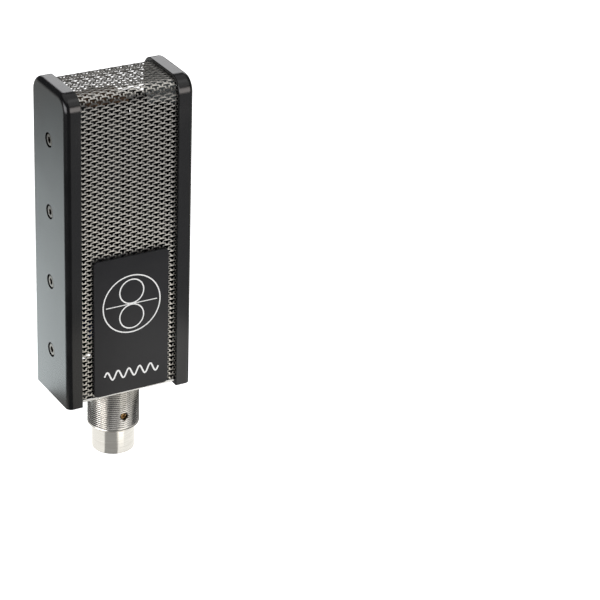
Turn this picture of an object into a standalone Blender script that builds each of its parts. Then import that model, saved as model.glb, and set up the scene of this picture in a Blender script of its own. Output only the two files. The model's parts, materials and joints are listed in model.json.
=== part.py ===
"""Side-address ribbon microphone as an assembly of separate pieces.

Metres, +Z up.  The origin is the centre of the connector sleeve's bottom rim, on which the
microphone stands.  The front, with the badge plate, faces -Y.  Each piece is one closed solid.
"""

import math

import bmesh
import bpy
from mathutils import Vector

MM = 0.001
GAP = 0.3  # clearance that neighbouring solids keep

# Body: two side covers with the grille between them
BODY_WIDTH = 59.4
BODY_DEPTH = 34.0
BODY_BOTTOM = 32.7
BODY_TOP = 178.2
COVER_THICKNESS = 7.1
COVER_EDGE_RADIUS = 2.5
COVER_CORNER_RADIUS = 7.3
GRILLE_RECESS = 1.65
GRILLE_SHEET = 0.8
GROOVE_DEPTH = 0.8

# Cover screws, M3 socket head
SCREW_FIRST_Z = 54.8
SCREW_PITCH = 32.95
SCREWS_PER_SIDE = 4
HEAD_RADIUS = 2.75
HEAD_HEIGHT = 3.0
HEAD_SUNK = 0.3
SHANK_RADIUS = 1.5
SOCKET_FLATS = 2.5
COUNTERBORE_RADIUS = 3.3

# Badge plate
PLATE_WIDTH = 35.6
PLATE_CENTRE_X = 0.9
PLATE_BOTTOM = 35.5
PLATE_TOP = 100.9
PLATE_THICKNESS = 1.0
PLATE_CORNER = 2.0

# Bottom plate and threaded barrel with the three-pin connector
FLANGE_BOTTOM = 34.3
FLANGE_THICKNESS = 1.1
CORE_THICKNESS = 3.0
BARREL_RADIUS = 11.6
BARREL_CHAMFER = 0.7
SLEEVE_RADIUS = 9.5
SLEEVE_LENGTH = 12.0
SOCKET_RADIUS = 8.2
SOCKET_DEPTH = 13.6
SPIGOT_RADIUS = 8.2
SPIGOT_TOP = 43.0
WIRE_BORE_RADIUS = 6.5
INSERT_TOP = 22.7
PIN_CIRCLE = 4.6
PIN_RADIUS = 1.2
PIN_TIP = 2.5
PIN_TOP = 26.5
LOCK_SCREW_Z = 19.75
LOCK_SEAT_RADIUS = 1.85
LOCK_SEAT_DEPTH = 1.6
LOCK_HOLE_RADIUS = 1.25
NUT_FLATS = 21.0
NUT_HEIGHT = 3.3
NOTCH_X = 7.6
NOTCH_WIDTH = 0.8
NOTCH_DEPTH = 0.6
FOOT_HEAD_HEIGHT = 1.6

# Inner chassis and motor
RAIL_INNER_X = 17.0
RAIL_DEPTH = 9.0
RAIL_TOP = 160.0
MOTOR_HALF_WIDTH = 13.5
MOTOR_HALF_DEPTH = 5.0
MOTOR_BOTTOM = 100.0
MOTOR_TOP = 168.0
MOTOR_WALL = 3.0
MOTOR_END_WALL = 4.0
RIBBON_HALF_WIDTH = 2.3
RIBBON_HALF_SPAN = 23.5
RIBBON_THICKNESS = 0.12
RIBBON_WAVE = 0.3
RIBBON_FOLDS = 20
POLE_GAP = 0.45
CLAMP_HEIGHT = 5.7

# Electronics
BOARD_FRONT = 10.5
BOARD_THICKNESS = 1.6
BOARD_BOTTOM = 42.0
BOARD_TOP = 98.0
CORE_BOTTOM = 74.0
CORE_TOP = 96.0
WIRE_RADIUS = 0.6

# Worked out from the above
OUTER_X = BODY_WIDTH / 2
INNER_X = OUTER_X - COVER_THICKNESS
FRONT_Y = BODY_DEPTH / 2
GRILLE_Y = FRONT_Y - GRILLE_RECESS
GRILLE_TOP = BODY_TOP - GRILLE_RECESS
GRILLE_RADIUS = COVER_CORNER_RADIUS - GRILLE_RECESS
FLANGE_TOP = FLANGE_BOTTOM + FLANGE_THICKNESS
CORE_PLATE_TOP = FLANGE_TOP + CORE_THICKNESS
GRILLE_BOTTOM = FLANGE_TOP + GAP
MOTOR_MIDDLE = (MOTOR_BOTTOM + MOTOR_TOP) / 2
WINDOW_X = MOTOR_HALF_WIDTH - MOTOR_WALL
SCREW_HEIGHTS = [SCREW_FIRST_Z + SCREW_PITCH * step for step in range(SCREWS_PER_SIDE)]

MATERIALS = {
    "cover_black": ((0.028, 0.029, 0.031), 0.42, 0.4),
    "plate_black": ((0.034, 0.034, 0.037), 0.45, 0.3),
    "bright_steel": ((0.62, 0.61, 0.59), 0.25, 1.0),
    "grille_nickel": ((0.66, 0.63, 0.58), 0.3, 1.0),
    "barrel_nickel": ((0.74, 0.71, 0.67), 0.18, 1.0),
    "satin_aluminium": ((0.72, 0.72, 0.71), 0.35, 1.0),
    "brass": ((0.62, 0.4, 0.16), 0.3, 1.0),
    "insert_black": ((0.02, 0.02, 0.02), 0.5, 0.0),
    "motor_black": ((0.02, 0.02, 0.021), 0.5, 0.4),
    "magnet_black": ((0.03, 0.03, 0.032), 0.4, 0.0),
    "foil": ((0.4, 0.4, 0.41), 0.4, 1.0),
    "phenolic_brown": ((0.16, 0.07, 0.03), 0.45, 0.0),
    "rubber_black": ((0.015, 0.015, 0.015), 0.8, 0.0),
    "core_grey": ((0.16, 0.16, 0.17), 0.5, 0.8),
    "coil_copper": ((0.55, 0.25, 0.1), 0.4, 0.7),
    "board_green": ((0.02, 0.14, 0.06), 0.4, 0.0),
    "sleeve_blue": ((0.03, 0.06, 0.2), 0.35, 0.0),
    "wire_red": ((0.5, 0.03, 0.02), 0.45, 0.0),
    "wire_white": ((0.75, 0.75, 0.72), 0.45, 0.0),
    "wire_black": ((0.02, 0.02, 0.02), 0.45, 0.0),
}


def clear_scene():
    for old in list(bpy.data.objects):
        bpy.data.objects.remove(old, do_unlink=True)


def material(name):
    made = bpy.data.materials.get(name)
    if made:
        return made
    colour, roughness, metallic = MATERIALS[name]
    made = bpy.data.materials.new(name)
    made.use_nodes = True
    shader = made.node_tree.nodes["Principled BSDF"]
    shader.inputs["Base Color"].default_value = (*colour, 1.0)
    shader.inputs["Roughness"].default_value = roughness
    shader.inputs["Metallic"].default_value = metallic
    return made


def finish_mesh(work, name, finish, smooth_angle=None):
    """Turn a bmesh in millimetres into a named object in metres."""
    bmesh.ops.recalc_face_normals(work, faces=work.faces)
    bmesh.ops.scale(work, vec=(MM, MM, MM), verts=work.verts)
    mesh = bpy.data.meshes.new(name)
    work.to_mesh(mesh)
    work.free()
    if smooth_angle:
        mesh.shade_smooth()
        mesh.set_sharp_from_angle(angle=math.radians(smooth_angle))
    made = bpy.data.objects.new(name, mesh)
    bpy.context.scene.collection.objects.link(made)
    if finish:
        made.data.materials.append(material(finish))
    return made


def on_axis(axis, along, u, v):
    """A point from a distance along an axis and the two other coordinates, in X, Y, Z order."""
    if axis == "X":
        return Vector((along, u, v))
    if axis == "Y":
        return Vector((u, along, v))
    return Vector((u, v, along))


def bridge_rings(work, rings, closed=False):
    """Quads between neighbouring rings of equal length; ends capped unless the stack is closed."""
    pairs = list(zip(rings, rings[1:]))
    if closed:
        pairs.append((rings[-1], rings[0]))
    for low, high in pairs:
        count = len(low)
        for step in range(count):
            following = (step + 1) % count
            work.faces.new((low[step], low[following], high[following], high[step]))
    if not closed:
        work.faces.new(list(reversed(rings[0])))
        work.faces.new(rings[-1])


def prism(name, finish, outline, axis, start, end):
    """A solid with a flat outline, extruded along an axis."""
    work = bmesh.new()
    rings = [[work.verts.new(on_axis(axis, along, u, v)) for u, v in outline] for along in (start, end)]
    bridge_rings(work, rings)
    return finish_mesh(work, name, finish)


def block(name, finish, low, high):
    (x0, y0, z0), (x1, y1, z1) = low, high
    return prism(name, finish, [(x0, y0), (x1, y0), (x1, y1), (x0, y1)], "Z", z0, z1)


def window_prism(name, finish, outer, inner, axis, start, end):
    """An extruded frame: an outline with a window, both with the same number of points."""
    work = bmesh.new()
    rings = []
    for outline, along in ((outer, start), (outer, end), (inner, end), (inner, start)):
        rings.append([work.verts.new(on_axis(axis, along, u, v)) for u, v in outline])
    bridge_rings(work, rings, closed=True)
    return finish_mesh(work, name, finish)


def rectangle(u0, u1, v0, v1):
    return [(u0, v0), (u1, v0), (u1, v1), (u0, v1)]


def arc(centre_u, centre_v, radius, start_deg, end_deg, steps):
    points = []
    for step in range(steps + 1):
        angle = math.radians(start_deg + (end_deg - start_deg) * step / steps)
        points.append((centre_u + radius * math.cos(angle), centre_v + radius * math.sin(angle)))
    return points


def rounded_rectangle(u0, u1, v0, v1, radius, steps=4):
    points = arc(u1 - radius, v1 - radius, radius, 0, 90, steps)
    points += arc(u0 + radius, v1 - radius, radius, 90, 180, steps)
    points += arc(u0 + radius, v0 + radius, radius, 180, 270, steps)
    points += arc(u1 - radius, v0 + radius, radius, 270, 360, steps)
    return points


def hexagon_radius(flats, angle):
    """Distance from the centre to a hexagon's side, for a hexagon measured across its flats."""
    sector = math.radians(60)
    offset = (angle % sector) - sector / 2
    return flats / 2 / math.cos(offset)


def turned(name, finish, profile, segments, closed=False, smooth_angle=40):
    """A solid of revolution about Z.  A profile entry is (radius, z) or ("hex", flats, z)."""
    work = bmesh.new()
    rings = []
    for entry in profile:
        ring = []
        for step in range(segments):
            angle = 2 * math.pi * step / segments
            radius = hexagon_radius(entry[1], angle) if entry[0] == "hex" else entry[0]
            ring.append(work.verts.new((radius * math.cos(angle), radius * math.sin(angle), entry[-1])))
        rings.append(ring)
    bridge_rings(work, rings, closed)
    return finish_mesh(work, name, finish, smooth_angle)


def wire(name, finish, points, radius=WIRE_RADIUS, sides=8):
    """A short connecting wire: a smooth curve through its points, with filled ends."""
    curve = bpy.data.curves.new(name, "CURVE")
    curve.dimensions = "3D"
    curve.bevel_depth = radius * MM
    curve.bevel_resolution = sides // 4
    curve.resolution_u = 4
    curve.use_fill_caps = True
    spline = curve.splines.new("BEZIER")
    spline.bezier_points.add(len(points) - 1)
    for knot, point in zip(spline.bezier_points, points):
        knot.co = Vector(point) * MM
        knot.handle_left_type = knot.handle_right_type = "AUTO"
    made = bpy.data.objects.new(name, curve)
    bpy.context.scene.collection.objects.link(made)
    curve.materials.append(material(finish))
    return made


def place(piece, x=0.0, y=0.0, z=0.0, turn=(0.0, 0.0, 0.0)):
    piece.location = Vector((x, y, z)) * MM
    piece.rotation_euler = [math.radians(angle) for angle in turn]
    return piece


def cutter(piece):
    piece.hide_render = True
    piece.display_type = "WIRE"
    return piece


def cut(target, *tools):
    for tool in tools:
        modifier = target.modifiers.new("cut_" + tool.name, "BOOLEAN")
        modifier.operation = "DIFFERENCE"
        modifier.solver = "EXACT"
        modifier.object = cutter(tool)


def drill(name, radius, start, end, axis, u, v, segments=16):
    """A cylindrical cutter along an axis."""
    outline = arc(u, v, radius, 0, 360 * (segments - 1) / segments, segments - 1)
    return prism(name, None, outline, axis, start, end)


# Body ---------------------------------------------------------------------------------------

def cover_outline(inset):
    """Side view of a cover as (y, z), drawn in from its front, top and back by an inset."""
    half = FRONT_Y - inset
    top = BODY_TOP - inset
    radius = COVER_CORNER_RADIUS - inset
    points = [(-half, BODY_BOTTOM)]
    points += arc(-half + radius, top - radius, radius, 180, 90, 6)
    points += arc(half - radius, top - radius, radius, 90, 0, 6)
    points.append((half, BODY_BOTTOM))
    return points


def grille_outline(grow, bottom):
    """The bent grille sheet in side view as (y, z): up the front, over the top, down the back."""
    def pass_over(offset):
        half = GRILLE_Y + offset
        top = GRILLE_TOP + offset
        radius = GRILLE_RADIUS + offset
        points = [(-half, bottom)]
        points += arc(-half + radius, top - radius, radius, 180, 90, 6)
        points += arc(half - radius, top - radius, radius, 90, 0, 6)
        points.append((half, bottom))
        return points
    return pass_over(grow) + list(reversed(pass_over(-GRILLE_SHEET - grow)))


def side_cover(name, side):
    """A thick cover, its outer face rounded on the front, top and back edges."""
    work = bmesh.new()
    steps = 5
    rings = [[work.verts.new((side * INNER_X, y, z)) for y, z in cover_outline(0.0)]]
    for step in range(steps + 1):
        angle = math.radians(90 * step / steps)
        inset = COVER_EDGE_RADIUS * (1 - math.cos(angle))
        x = side * (OUTER_X - COVER_EDGE_RADIUS + COVER_EDGE_RADIUS * math.sin(angle))
        rings.append([work.verts.new((x, y, z)) for y, z in cover_outline(inset)])
    bridge_rings(work, rings)
    cover = finish_mesh(work, name, "cover_black", 35)
    floor_x = OUTER_X - HEAD_SUNK - HEAD_HEIGHT - GAP
    for index, height in enumerate(SCREW_HEIGHTS, 1):
        seat = drill(f"{name}_seat_{index}", COUNTERBORE_RADIUS, side * floor_x, side * (OUTER_X + 1), "X", 0,
                     height)
        hole = drill(f"{name}_hole_{index}", SHANK_RADIUS + GAP, side * (INNER_X - 1), side * (OUTER_X - 1),
                     "X", 0, height, 12)
        cut(cover, seat, hole)
    groove_end = INNER_X + GROOVE_DEPTH
    groove = prism(name + "_groove", None, grille_outline(GAP, GRILLE_BOTTOM - GAP), "X",
                   side * (INNER_X - 1), side * groove_end)
    cut(cover, groove)


def socket_screw(name, finish, head_radius, head_height, shank_radius, length, flats, segments=18):
    """A socket head screw along Z: the head's top face at z = 0 and the shank below it."""
    bevel = 0.12 * head_radius
    depth = 0.5 * head_height
    profile = [
        ("hex", flats, -depth),
        ("hex", flats, 0.0),
        (head_radius - bevel, 0.0),
        (head_radius, -bevel),
        (head_radius, -head_height),
        (shank_radius, -head_height),
        (shank_radius, -head_height - length),
    ]
    return turned(name, finish, profile, segments)


def copy_of(original, name):
    made = bpy.data.objects.new(name, original.data)
    bpy.context.scene.collection.objects.link(made)
    return made


def cover_screws():
    """Four screws a side; the first one's mesh is shared by the others."""
    first = None
    for word, side in (("left", -1), ("right", 1)):
        for index, height in enumerate(SCREW_HEIGHTS, 1):
            name = f"cover_screw_{word}_{index}"
            if first is None:
                first = socket_screw(name, "bright_steel", HEAD_RADIUS, HEAD_HEIGHT, SHANK_RADIUS, 8.8,
                                     SOCKET_FLATS)
                screw = first
            else:
                screw = copy_of(first, name)
            place(screw, side * (OUTER_X - HEAD_SUNK), 0, height, (0, 90 * side, 0))


def grille():
    """The wrap of expanded metal, here a plain sheet of its outer size."""
    prism("grille", "grille_nickel", grille_outline(0.0, GRILLE_BOTTOM), "X",
          -INNER_X - GROOVE_DEPTH + GAP, INNER_X + GROOVE_DEPTH - GAP)


def front_plate():
    outline = rounded_rectangle(PLATE_CENTRE_X - PLATE_WIDTH / 2, PLATE_CENTRE_X + PLATE_WIDTH / 2,
                                PLATE_BOTTOM, PLATE_TOP, PLATE_CORNER)
    back = -GRILLE_Y - GAP
    prism("front_plate", "plate_black", outline, "Y", back - PLATE_THICKNESS, back)


def bottom_plate():
    """A thin flange under the grille's edge and a thicker core inside it."""
    flange = FRONT_Y - 1.4
    core = GRILLE_Y - GRILLE_SHEET - 0.7
    outline = [(-flange, FLANGE_BOTTOM), (flange, FLANGE_BOTTOM), (flange, FLANGE_TOP), (core, FLANGE_TOP),
               (core, CORE_PLATE_TOP), (-core, CORE_PLATE_TOP), (-core, FLANGE_TOP), (-flange, FLANGE_TOP)]
    plate = prism("bottom_plate", "satin_aluminium", outline, "X", -INNER_X + GAP, INNER_X - GAP)
    cut(plate, drill("spigot_hole", SPIGOT_RADIUS + GAP, FLANGE_BOTTOM - 1, CORE_PLATE_TOP + 1, "Z", 0, 0, 48))
    cut(plate, block("flange_notch", None, (NOTCH_X - NOTCH_WIDTH / 2, -flange - 1, FLANGE_BOTTOM - 1),
                     (NOTCH_X + NOTCH_WIDTH / 2, -flange + NOTCH_DEPTH, FLANGE_TOP + 1)))
    for word, side in (("left", -1), ("right", 1)):
        x = side * (RAIL_INNER_X + INNER_X - GAP) / 2
        hole = drill(f"foot_hole_{word}", SHANK_RADIUS + GAP, FLANGE_BOTTOM - 1, CORE_PLATE_TOP + 1, "Z",
                     x, 0, 12)
        sunk = 0.2
        seat_top = FLANGE_BOTTOM + sunk + FOOT_HEAD_HEIGHT + GAP
        seat = drill(f"foot_seat_{word}", HEAD_RADIUS + GAP, FLANGE_BOTTOM - 1, seat_top, "Z", x, 0)
        cut(plate, hole, seat)
        screw = socket_screw(f"foot_screw_{word}", "bright_steel", HEAD_RADIUS, FOOT_HEAD_HEIGHT, SHANK_RADIUS,
                             8.0, 2.0)
        place(screw, x, 0, FLANGE_BOTTOM + sunk, (180, 0, 0))


# Connector ----------------------------------------------------------------------------------

def barrel():
    """The threaded barrel with the smooth connector sleeve under it and a spigot above."""
    top = FLANGE_BOTTOM - GAP
    shoulder = INSERT_TOP + GAP
    profile = [
        (SLEEVE_RADIUS - 0.3, 0.0),
        (SLEEVE_RADIUS, 0.3),
        (SLEEVE_RADIUS, SLEEVE_LENGTH),
        (BARREL_RADIUS - BARREL_CHAMFER, SLEEVE_LENGTH),
        (BARREL_RADIUS, SLEEVE_LENGTH + BARREL_CHAMFER),
        (BARREL_RADIUS, top),
        (SPIGOT_RADIUS, top),
        (SPIGOT_RADIUS, SPIGOT_TOP),
        (WIRE_BORE_RADIUS, SPIGOT_TOP),
        (WIRE_BORE_RADIUS, shoulder),
        (SOCKET_RADIUS, shoulder),
        (SOCKET_RADIUS, 0.3),
        (SOCKET_RADIUS + 0.3, 0.0),
    ]
    body = turned("xlr_barrel", "barrel_nickel", profile, 48, closed=True)
    cut(body,
        drill("lock_seat", LOCK_SEAT_RADIUS, -BARREL_RADIUS - 1, -BARREL_RADIUS + LOCK_SEAT_DEPTH, "Y", 0,
              LOCK_SCREW_Z),
        drill("lock_hole", LOCK_HOLE_RADIUS, -BARREL_RADIUS - 1, -SOCKET_RADIUS + 1, "Y", 0, LOCK_SCREW_Z, 12))
    screw = socket_screw("lock_screw", "brass", 1.5, 0.9, 0.9, 3.0, 1.0, 12)
    place(screw, 0, -BARREL_RADIUS + 0.35, LOCK_SCREW_Z, (90, 0, 0))


def barrel_nut():
    low = CORE_PLATE_TOP + GAP
    high = low + NUT_HEIGHT
    profile = [("hex", NUT_FLATS, low), ("hex", NUT_FLATS, high), (SPIGOT_RADIUS + GAP, high),
               (SPIGOT_RADIUS + GAP, low)]
    turned("barrel_nut", "brass", profile, 36, closed=True, smooth_angle=20)


def connector():
    """The insulating insert and its three pins, the first at the back."""
    insert = turned("xlr_insert", "insert_black", [(SOCKET_RADIUS - GAP, SOCKET_DEPTH),
                                                   (SOCKET_RADIUS - GAP, INSERT_TOP)], 48)
    cut(insert, drill("lock_pocket", LOCK_HOLE_RADIUS, -SOCKET_RADIUS - 1, -SOCKET_RADIUS + 1.7, "Y", 0,
                      LOCK_SCREW_Z, 12))
    centres = arc(0, 0, PIN_CIRCLE, 90, 330, 2)
    for index, (x, y) in enumerate(centres, 1):
        cut(insert, drill(f"pin_hole_{index}", PIN_RADIUS + GAP, SOCKET_DEPTH - 1, INSERT_TOP + 1, "Z", x, y))
        tip = [(PIN_RADIUS - rounding, PIN_TIP + height)
               for rounding, height in ((0.8, 0.0), (0.35, 0.15), (0.1, 0.45), (0.0, 0.9))]
        pin = turned(f"xlr_pin_{index}", "bright_steel", tip + [(PIN_RADIUS, PIN_TOP)], 12)
        place(pin, x, y, 0)
    return centres


# Chassis and motor --------------------------------------------------------------------------

def rails():
    """Two upright bars that the covers screw to, standing on the bottom plate."""
    outer = INNER_X - GAP
    bottom = CORE_PLATE_TOP + GAP
    for word, side in (("left", -1), ("right", 1)):
        low_x, high_x = sorted((side * RAIL_INNER_X, side * outer))
        rail = block(f"chassis_rail_{word}", "motor_black", (low_x, -RAIL_DEPTH / 2, bottom),
                     (high_x, RAIL_DEPTH / 2, RAIL_TOP))
        for index, height in enumerate(SCREW_HEIGHTS, 1):
            cut(rail, drill(f"rail_hole_{word}_{index}", SHANK_RADIUS + GAP, low_x - 1, high_x + 1, "X", 0,
                            height, 12))
        cut(rail, drill(f"rail_foot_{word}", SHANK_RADIUS + GAP, bottom - 1, bottom + 7, "Z",
                        side * (RAIL_INNER_X + outer) / 2, 0, 12))


def motor():
    """A steel frame that holds a magnet and a pole piece on each side of the ribbon."""
    window_prism("motor_frame", "motor_black",
                 rectangle(-MOTOR_HALF_WIDTH, MOTOR_HALF_WIDTH, MOTOR_BOTTOM, MOTOR_TOP),
                 rectangle(-WINDOW_X, WINDOW_X, MOTOR_BOTTOM + MOTOR_END_WALL, MOTOR_TOP - MOTOR_END_WALL),
                 "Y", -MOTOR_HALF_DEPTH, MOTOR_HALF_DEPTH)
    half_length = RIBBON_HALF_SPAN + 0.2
    low_z, high_z = MOTOR_MIDDLE - half_length, MOTOR_MIDDLE + half_length
    tip_x = RIBBON_HALF_WIDTH + POLE_GAP
    pole_back = tip_x + 2.3
    magnet_depth = MOTOR_HALF_DEPTH - 1
    for word, side in (("left", -1), ("right", 1)):
        outline = [(side * tip_x, -1.2), (side * pole_back, -magnet_depth), (side * pole_back, magnet_depth),
                   (side * tip_x, 1.2)]
        prism(f"pole_piece_{word}", "motor_black", outline, "Z", low_z, high_z)
        near, far = sorted((side * (pole_back + GAP), side * (WINDOW_X - GAP)))
        block(f"magnet_{word}", "magnet_black", (near, -magnet_depth, low_z), (far, magnet_depth, high_z))
        inner, outer = sorted((side * (MOTOR_HALF_WIDTH + GAP), side * (RAIL_INNER_X - GAP)))
        strip = rounded_rectangle(-3.4, 3.4, MOTOR_BOTTOM + 6, RAIL_TOP - 4, 1.5)
        prism(f"isolator_{word}", "rubber_black", strip, "X", inner, outer)


def ribbon():
    """The free span of folded foil, and the flat tab that each clamp grips."""
    count = 2 * RIBBON_FOLDS
    middle = []
    for step in range(count + 1):
        height = MOTOR_MIDDLE - RIBBON_HALF_SPAN + 2 * RIBBON_HALF_SPAN * step / count
        swing = 0.0 if step in (0, count) else RIBBON_WAVE * (-1) ** step
        middle.append((swing, height))
    half = RIBBON_THICKNESS / 2
    outline = [(y - half, z) for y, z in middle] + [(y + half, z) for y, z in reversed(middle)]
    prism("ribbon", "foil", outline, "X", -RIBBON_HALF_WIDTH, RIBBON_HALF_WIDTH)


def clamp(word, side):
    """An insulating block behind the foil's end and a bar that two small screws pull against it."""
    near = MOTOR_MIDDLE + side * (RIBBON_HALF_SPAN + 0.5)
    low, high = sorted((near, near + side * CLAMP_HEIGHT))
    middle = (low + high) / 2
    half = RIBBON_THICKNESS / 2
    tab_start = MOTOR_MIDDLE + side * (RIBBON_HALF_SPAN + GAP)
    tab_low, tab_high = sorted((tab_start, near + side * (CLAMP_HEIGHT - 1)))
    block(f"ribbon_tab_{word}", "foil", (-RIBBON_HALF_WIDTH, -half, tab_low),
          (RIBBON_HALF_WIDTH, half, tab_high))
    rear = block(f"clamp_block_{word}", "phenolic_brown", (-8, half + GAP, low),
                 (8, MOTOR_HALF_DEPTH, high))
    bar = block(f"clamp_bar_{word}", "motor_black", (-6.5, -half - GAP - 2, low + 0.5),
                (6.5, -half - GAP, high - 0.5))
    for hand, x in (("left", -4.4), ("right", 4.4)):
        hole = drill(f"clamp_hole_{word}_{hand}", 1.1, -4, 3.8, "Y", x, middle, 12)
        cut(rear, hole)
        cut(bar, hole)
        screw = socket_screw(f"clamp_screw_{word}_{hand}", "bright_steel", 1.4, 1.0, 0.8, 5.8, 0.9, 12)
        place(screw, x, -half - 2 * GAP - 3, middle, (90, 0, 0))


def terminal_board():
    """A brown insulating board on top of the motor, with a solder tag and two screws."""
    low = MOTOR_TOP + GAP
    high = low + 1.6
    board = block("terminal_board", "phenolic_brown", (-16.0, -7.5, low), (3.6, 7.5, high))
    for hand, x in (("left", -9.7), ("right", 1.2)):
        cut(board, drill(f"terminal_hole_{hand}", 1.3, low - 1, high + 1, "Z", x, -3.0, 12))
        screw = socket_screw(f"terminal_screw_{hand}", "bright_steel", 1.9, 1.2, 1.0, 1.7, 1.3, 12)
        place(screw, x, -3.0, high + GAP + 1.2)
    tag = [(4.0, -4.5), (8.2, -5.0), (9.6, -2.2), (8.2, 0.6), (4.0, 0.2)]
    prism("solder_tag", "bright_steel", tag, "Z", low, low + 0.8)


# Electronics --------------------------------------------------------------------------------

def transformer():
    """An E-I core with its winding around the middle leg, and the strap that holds it."""
    outer = rectangle(-12, 12, CORE_BOTTOM, CORE_TOP)
    core = prism("transformer_core", "core_grey", outer, "Y", -5, 5)
    for word, x in (("left", -6), ("right", 6)):
        cut(core, block(f"core_window_{word}", None, (x - 2.5, -6, CORE_BOTTOM + 4),
                        (x + 2.5, 6, CORE_TOP - 4)))
    window_prism("transformer_coil", "coil_copper", rounded_rectangle(-8.2, 8.2, -9, 9, 1.5, 2),
                 rounded_rectangle(-3.8, 3.8, -5.3, 5.3, 0.2, 2), "Z", CORE_BOTTOM + 4.3, CORE_TOP - 4.3)
    strap = [(-13.1, BOARD_FRONT - GAP), (-13.1, -6.1), (13.1, -6.1), (13.1, BOARD_FRONT - GAP),
             (12.3, BOARD_FRONT - GAP), (12.3, -5.3), (-12.3, -5.3), (-12.3, BOARD_FRONT - GAP)]
    prism("transformer_strap", "bright_steel", strap, "Z", CORE_TOP - 3.4, CORE_TOP - 0.6)


def circuit_board():
    """The board behind the badge plate, its two brackets to the rails, and what it carries."""
    block("circuit_board", "board_green", (-20, BOARD_FRONT, BOARD_BOTTOM),
          (20, BOARD_FRONT + BOARD_THICKNESS, BOARD_TOP))
    for word, side in (("left", -1), ("right", 1)):
        low_x, high_x = sorted((side * 17.6, side * 20.0))
        block(f"board_bracket_{word}", "motor_black", (low_x, RAIL_DEPTH / 2 + GAP, 60.0),
              (high_x, BOARD_FRONT - GAP, 80.0))
    near = BOARD_FRONT - GAP
    can = [(4.2, 0.0), (5.0, 0.6), (5.0, 13.0), (4.5, 13.6)]
    place(turned("electrolytic_capacitor", "sleeve_blue", can, 20), -9, near, 61, (90, 0, 0))
    d_shape = arc(0, 71.5, 2.4, 30, 330, 8)
    prism("transistor", "insert_black", d_shape, "Y", near - 4.5, near)


def wiring(pins):
    """Three output wires down to the pins and three fine wires between motor and transformer."""
    colours = ("wire_black", "wire_red", "wire_white")
    for index, ((x, y), colour, end_x) in enumerate(zip(pins, colours, (0.0, -4.0, 4.0)), 1):
        route = [(x, y, PIN_TOP + GAP), (x, y, 32), (x * 0.9, y * 0.9, 40), (end_x, 5.2, 45),
                 (end_x, BOARD_FRONT - 2 * GAP, 48)]
        wire(f"output_wire_{index}", colour, route)
    coil_top = CORE_TOP - 4.3 + 2 * GAP
    wire("ribbon_wire_bottom", "wire_black",
         [(0, -2.9, 107), (0.4, -6.2, 106), (3, -7.0, 100), (6, -7.2, coil_top)], 0.4)
    wire("ribbon_wire_top", "wire_black",
         [(0, -2.9, 161), (-1.5, -6.4, 162.5), (-6, -8.9, 169), (-6, -7.6, 171.0), (-6, -6.0, 170.7)], 0.4)
    wire("return_wire", "wire_black",
         [(-7, 5.5, 170.7), (-7, 8.3, 170.6), (-7, 8.6, 167), (-7, 8.0, 150), (-7, 8.0, 110),
          (-7, 7.4, coil_top)], 0.4)


def main():
    clear_scene()
    side_cover("side_cover_left", -1)
    side_cover("side_cover_right", 1)
    cover_screws()
    grille()
    front_plate()
    bottom_plate()
    barrel()
    barrel_nut()
    pins = connector()
    rails()
    motor()
    ribbon()
    clamp("bottom", -1)
    clamp("top", 1)
    terminal_board()
    transformer()
    circuit_board()
    wiring(pins)


main()
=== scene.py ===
"""Looks of the side-address ribbon microphone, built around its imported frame.

Metres, +Z up; the microphone stands on its connector sleeve at the origin, its front faces -Y.
"""

import json
import math

import bmesh
import bpy
import numpy as np
from mathutils import Matrix, Vector


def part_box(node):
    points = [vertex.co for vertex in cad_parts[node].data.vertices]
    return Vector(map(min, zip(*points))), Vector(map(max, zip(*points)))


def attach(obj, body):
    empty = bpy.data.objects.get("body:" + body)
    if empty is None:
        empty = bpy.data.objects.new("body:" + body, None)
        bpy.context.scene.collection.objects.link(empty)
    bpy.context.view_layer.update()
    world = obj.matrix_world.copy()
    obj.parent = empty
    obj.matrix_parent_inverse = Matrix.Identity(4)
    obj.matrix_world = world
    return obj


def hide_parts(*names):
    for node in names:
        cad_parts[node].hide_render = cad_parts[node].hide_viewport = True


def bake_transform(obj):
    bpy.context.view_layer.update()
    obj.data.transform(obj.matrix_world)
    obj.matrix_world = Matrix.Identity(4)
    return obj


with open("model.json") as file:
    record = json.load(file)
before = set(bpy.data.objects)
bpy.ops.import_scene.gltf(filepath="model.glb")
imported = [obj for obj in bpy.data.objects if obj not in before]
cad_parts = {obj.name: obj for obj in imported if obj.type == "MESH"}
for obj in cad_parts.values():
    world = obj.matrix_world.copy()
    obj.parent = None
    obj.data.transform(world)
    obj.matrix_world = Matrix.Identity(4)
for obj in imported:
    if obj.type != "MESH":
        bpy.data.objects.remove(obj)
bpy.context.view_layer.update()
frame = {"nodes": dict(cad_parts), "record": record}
NODES = frame["nodes"]

MM = 0.001
GAP = 0.3 * MM

# Read from the frame
COVER_LOW, COVER_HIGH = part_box("side_cover_right")
GRILLE_LOW, GRILLE_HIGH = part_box("grille")
PLATE_LOW, PLATE_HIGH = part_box("front_plate")
BASE_LOW, BASE_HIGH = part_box("bottom_plate")
BARREL_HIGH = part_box("xlr_barrel")[1]
INSERT_LOW, INSERT_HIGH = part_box("xlr_insert")
RIBBON_LOW, RIBBON_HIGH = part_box("ribbon")

# Screws: head radius, head height, shank radius, shank length and socket across flats
COVER_SCREW = (2.75 * MM, 3.0 * MM, 1.5 * MM, 8.8 * MM, 2.5 * MM)
FOOT_SCREW = (2.75 * MM, 1.6 * MM, 1.5 * MM, 8.0 * MM, 2.0 * MM)
LOCK_SCREW = (1.5 * MM, 0.9 * MM, 0.9 * MM, 2.3 * MM, 1.5 * MM)

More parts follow.
